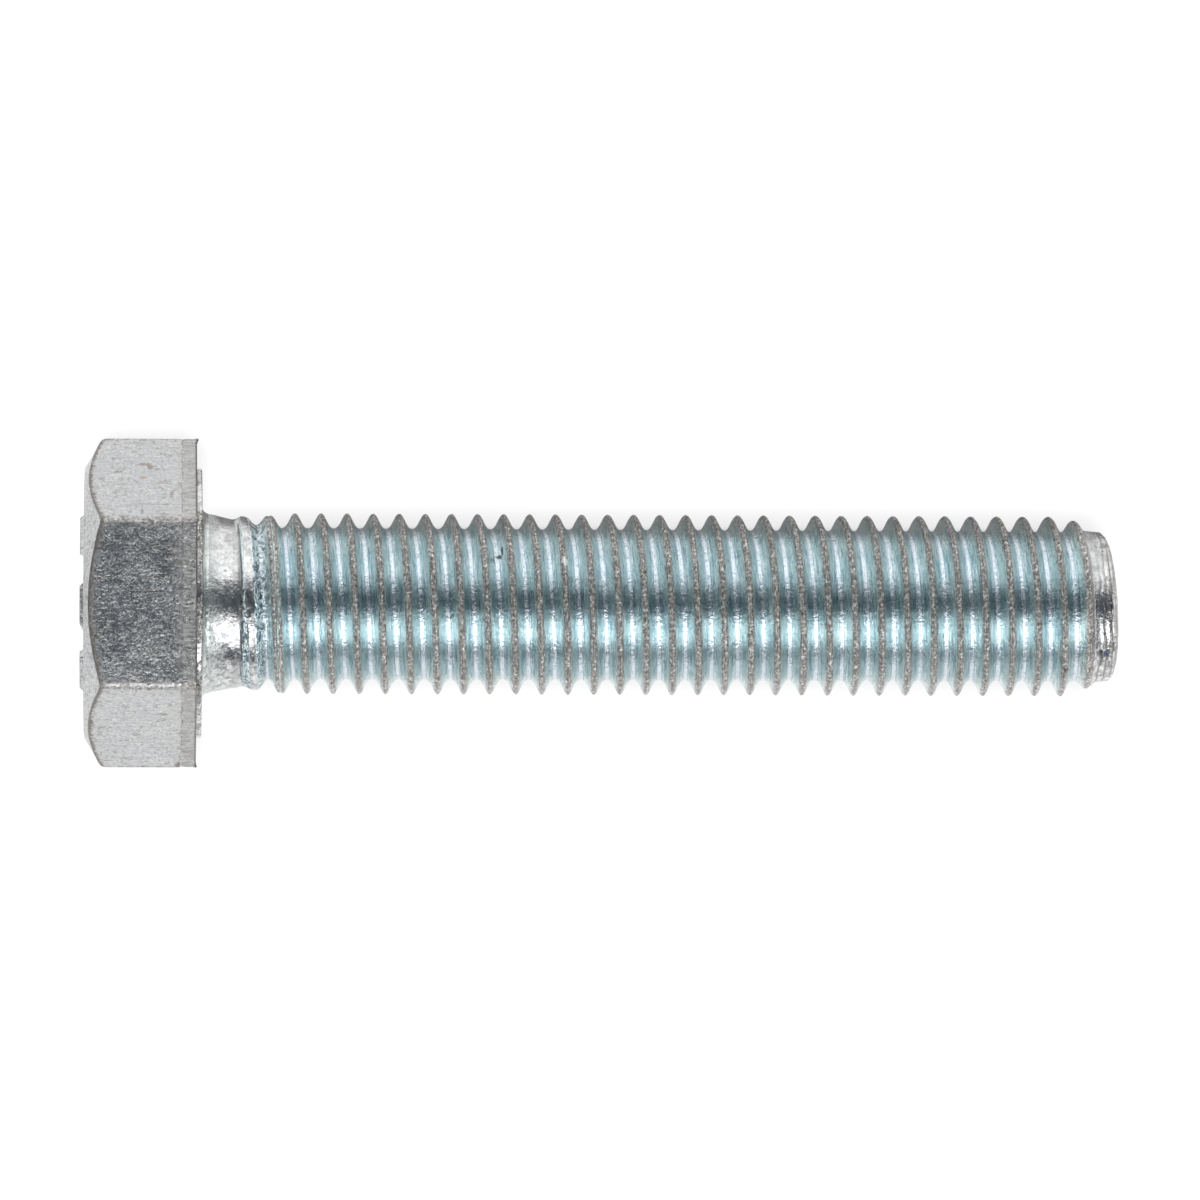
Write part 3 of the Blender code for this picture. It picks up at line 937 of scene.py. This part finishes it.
def shank_material():
    """Blue passivated zinc: teal glossy flanks, matt grey-brown crests, silver neck and point."""
    material, n = new_material("shank_zinc")
    place = n.make("ShaderNodeTexCoord").outputs["Object"]
    tint, wear, veil, torn = (n.mark(name) for name in ("tint", "wear", "veil", "torn"))
    across, reach = n.mark("across"), n.mark("reach")
    helix = n.make("ShaderNodeCombineXYZ", {"X": n.mark("run"), "Y": across}).outputs[0]
    lines = n.noise(n.stretched(helix, (0.3, 3.2, 1.0)), 1.0, 3.0, 0.8)
    fine = n.noise(place, 3400.0, 3.0, 0.75)
    lumps = n.noise(place, 1500.0, 3.0, 0.6, 0.5)
    tears = n.noise(place, 2000.0, 3.0, 0.75, 0.5)
    crumbs = n.noise(place, 4200.0, 3.0, 0.8)
    waves = n.times(reach, math.tau / RIDGE_SPACING)
    waves = n.times_plus(n.noise(place, 330.0, 2.0, 0.6), 9.0, waves)
    folds = n.times(n.maths("SINE", waves), n.mark("folds"))

    silver = silver_zinc(n, place, lumps, reach, n.mark("border"))
    base = n.mix(tint, silver, blue_zinc(n, helix, across, lines, fine))
    base = n.mix(n.times(torn, 0.7), base, (0.76, 0.86, 0.89))
    cracks = n.times(n.spread(tears, 0.5, 0.44), torn)
    base = n.mix(n.times(cracks, 0.9), base, (0.12, 0.18, 0.22))
    base = n.mix(n.spread(folds, -0.3, -0.95, 0.0, 0.85), base, (0.22, 0.20, 0.18))
    dull = n.times(n.spread(n.plus(veil, fine), 0.75, 1.3), 0.2)
    base = n.mix(dull, base, (0.34, 0.355, 0.35))
    ragged = n.times_plus(n.noise(place, 3600.0, 3.0, 0.8), 2.0, -1.0)
    matt = n.spread(n.plus(wear, ragged), 0.35, 0.62)
    brown = n.ramp(crumbs, [
        (0.37, (0.14, 0.12, 0.105)), (0.5, (0.36, 0.34, 0.32)), (0.57, (0.53, 0.515, 0.50)),
        (0.62, (0.96, 0.95, 0.93)),
    ])
    colour = n.mix(matt, base, brown)
    specks = n.spread(n.noise(place, 2300.0, 1.0, 0.5), 0.75, 0.78)
    colour = n.mix(n.times(specks, 0.6), colour, (0.14, 0.13, 0.13))
    for spot, size, hue in SHANK_SPOTS:
        colour = n.mix(n.times(n.spot(place, spot, size), 0.9), colour, hue)
    n.feed(n.shader.inputs["Base Color"], colour)
    n.shader.inputs["Metallic"].default_value = 1.0

    gloss = n.spread(lines, 0.3, 0.7, 0.11, 0.18)
    gloss = n.plus(gloss, n.times(matt, 0.09))
    gloss = n.plus(gloss, n.times(dull, 0.25))
    n.feed(n.shader.inputs["Roughness"], gloss)

    height = n.times(n.times(tears, torn), 28.0)
    height = n.times_plus(folds, 2.6, height)
    height = n.times_plus(fine, n.spread(tint, 0.0, 1.0, 3.0, 6.5), height)
    height = n.times_plus(n.times(crumbs, matt), 8.0, height)
    height = n.times_plus(n.times(lines, tint), 10.0, height)
    height = n.times_plus(n.times(lumps, n.maths("SUBTRACT", 1.0, tint)), 5.0, height)
    n.feed(n.shader.inputs["Normal"], n.bump(height, SHANK_GRAIN))
    return material


def floor_material():
    """White, faintly glowing acrylic of a photographer's light table, with a painted shadow that
    darkens its colour and glow under and round the bolt.
    """
    material, n = new_material("light_table")
    place = n.make("ShaderNodeTexCoord").outputs["Object"]
    boxes = [n.outside_box(place, box) for box in (HEAD_SHADE, SHANK_SHADE)]
    gap = n.spread(n.maths("MINIMUM", *boxes), 0.0, SHADE_REACH)
    shade = n.ramp(gap, [(share, (grey,) * 3) for share, grey in TABLE_SHADE])
    cloud = n.noise(place, 9.0, 2.0)
    acrylic = n.ramp(cloud, [(share, (grey,) * 3) for share, grey in ((0.3, 0.115), (0.7, 0.125))])
    # Painted shadow: the table's colour and glow are darkened under and round the bolt
    n.feed(n.shader.inputs["Base Color"], n.mix(1.0, acrylic, shade, "MULTIPLY"))
    n.shader.inputs["Roughness"].default_value = 0.6
    n.feed(n.shader.inputs["Emission Color"], shade)
    n.shader.inputs["Emission Strength"].default_value = TABLE_GLOW
    return material


# Studio


def floor_frame():
    """The floor's place: it touches the head's lower flat and one of the last thread crests."""
    drop = APOTHEM - CREST_RADIUS
    tilt = math.atan2(drop, LAST_CONTACT - FLAT_END)
    up = Vector((-math.sin(tilt), 0.0, math.cos(tilt)))
    ahead = Vector((math.cos(tilt), 0.0, math.sin(tilt)))
    touch = Vector((FLAT_END * MM, 0.0, -APOTHEM * MM))
    centre = Vector(CAMERA_AIM)
    below = centre - up * (centre - touch).dot(up)
    turn = Matrix((ahead, Vector((0.0, 1.0, 0.0)), up)).transposed().to_4x4()
    return Matrix.Translation(below) @ turn


def add_disc(name, place, profile, material, capped=False):
    """A round surface spun from (radius, height) points, open in its middle unless capped."""
    sides = 96
    verts, faces = [], []
    for radius, rise in profile:
        for side in range(sides):
            angle = math.tau * side / sides
            verts.append((radius * math.cos(angle), radius * math.sin(angle), rise))
    for ring in range(len(profile) - 1):
        low, high = ring * sides, (ring + 1) * sides
        for side in range(sides):
            after = (side + 1) % sides
            faces.append((low + side, high + side, high + after, low + after))
    if capped:
        faces.append(tuple(range(sides)))
    mesh = bpy.data.meshes.new(name)
    mesh.from_pydata(verts, [], faces)
    mesh.shade_smooth()
    mesh.materials.append(material)
    disc = link_object(name, mesh)
    disc.matrix_world = place
    return disc


def add_floor(place):
    """A wide flat table, and a low pale wall round it that does not show in reflections."""
    material = floor_material()
    add_disc("light_table", place, [(0.2, 0.0), (0.6, 0.0), (1.4, 0.0)], material, capped=True)
    inner, curve, lift = 0.95, 0.35, 0.0004
    profile = []
    for degrees in range(0, 81, 10):
        angle = math.radians(degrees)
        profile.append((inner + curve * math.sin(angle), lift + curve * (1 - math.cos(angle))))
    wall = add_disc("backdrop", place, profile, material)
    wall.visible_glossy = False


def add_softbox(name, place, angles, distance, length, radiance):
    """A long area light beside the bolt, between two angles from straight up, in degrees.

    Positive angles lean to the -Y side, and its long side runs along the bolt.
    """
    ends = []
    for angle in angles:
        lean = math.radians(angle)
        ends.append(Vector((0.0, -distance * math.sin(lean), distance * math.cos(lean))))
    width = (ends[1] - ends[0]).length
    centre = (ends[0] + ends[1]) / 2
    light = bpy.data.lights.new(name, "AREA")
    light.shape = "RECTANGLE"
    light.size = length
    light.size_y = width
    light.energy = radiance * math.pi * length * width
    across = (ends[1] - ends[0]).normalized()
    back = Vector((1.0, 0.0, 0.0)).cross(across)
    if back.dot(centre) < 0:
        across, back = -across, -back
    turn = Matrix((Vector((1.0, 0.0, 0.0)), across, back)).transposed().to_4x4()
    lamp = link_object(name, light)
    lamp.matrix_world = place @ Matrix.Translation(centre) @ turn
    lamp.visible_camera = False


def shade_sheet_material(name, full, edge, cover):
    """Painted shade: a black sheet beside the bolt, ever thinner towards its outer edge."""
    material, n = new_material(name)
    place = n.make("ShaderNodeTexCoord").outputs["Object"]
    out = n.make("ShaderNodeSeparateXYZ", {0: place}).outputs["Y"]
    n.shader.inputs["Base Color"].default_value = (0.02, 0.02, 0.02, 1.0)
    n.shader.inputs["Roughness"].default_value = 1.0
    n.feed(n.shader.inputs["Alpha"], n.spread(out, full, edge, cover, 0.0))
    return material


def add_shade_sheet(name, place, near, full, edge, cover):
    """A strip of painted shade on the table along the bolt, black and seen only in reflections."""
    low, high = SHADE_SHEET_ENDS
    outline = ((low, near), (high, near), (high, edge), (low, edge))
    mesh = bpy.data.meshes.new(name)
    mesh.from_pydata([(*corner, SHADE_SHEET_HEIGHT) for corner in outline], [], [(0, 1, 2, 3)])
    mesh.materials.append(shade_sheet_material(name, full, edge, cover))
    painted_shade_sheet = link_object(name, mesh)
    painted_shade_sheet.matrix_world = place
    painted_shade_sheet.visible_camera = False
    painted_shade_sheet.visible_diffuse = False
    painted_shade_sheet.visible_shadow = False


def add_world():
    """A dim grey room over the table."""
    world = bpy.data.worlds.new("studio")
    world.use_nodes = True
    background = world.node_tree.nodes["Background"]
    background.inputs["Color"].default_value = ROOM_COLOUR
    background.inputs["Strength"].default_value = ROOM_STRENGTH
    bpy.context.scene.world = world


def add_camera(place):
    """The camera looks straight down on the table, over the middle of the bolt."""
    turn = place.to_3x3()
    up = turn.col[2].copy()
    roll = Matrix.Rotation(-CAMERA_ROLL, 3, "Z")
    camera = bpy.data.cameras.new("camera")
    camera.lens = CAMERA_LENS
    camera.sensor_width = 36.0
    holder = link_object("camera", camera)
    aim = Vector(CAMERA_AIM)
    holder.matrix_world = Matrix.Translation(aim + up * CAMERA_DISTANCE) @ (turn @ roll).to_4x4()
    bpy.context.scene.camera = holder


bolt = bolt_surface()
bolt.data.materials.append(head_material())
bolt.data.materials.append(shank_material())
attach(bolt, "root")
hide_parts("hex_bolt")

table_place = floor_frame()
add_floor(table_place)
for name, *settings in SOFTBOXES:
    add_softbox(name, table_place, *settings)
# Painted shade: black sheets that only the bolt's reflections see, standing in for the shadow beside
# it
add_shade_sheet("upper_shade_sheet", table_place, *UPPER_SHADE_SHEET)
add_shade_sheet("lower_shade_sheet", table_place, *LOWER_SHADE_SHEET)
add_world()
add_camera(table_place)
bpy.context.scene.view_settings.view_transform = "Standard"

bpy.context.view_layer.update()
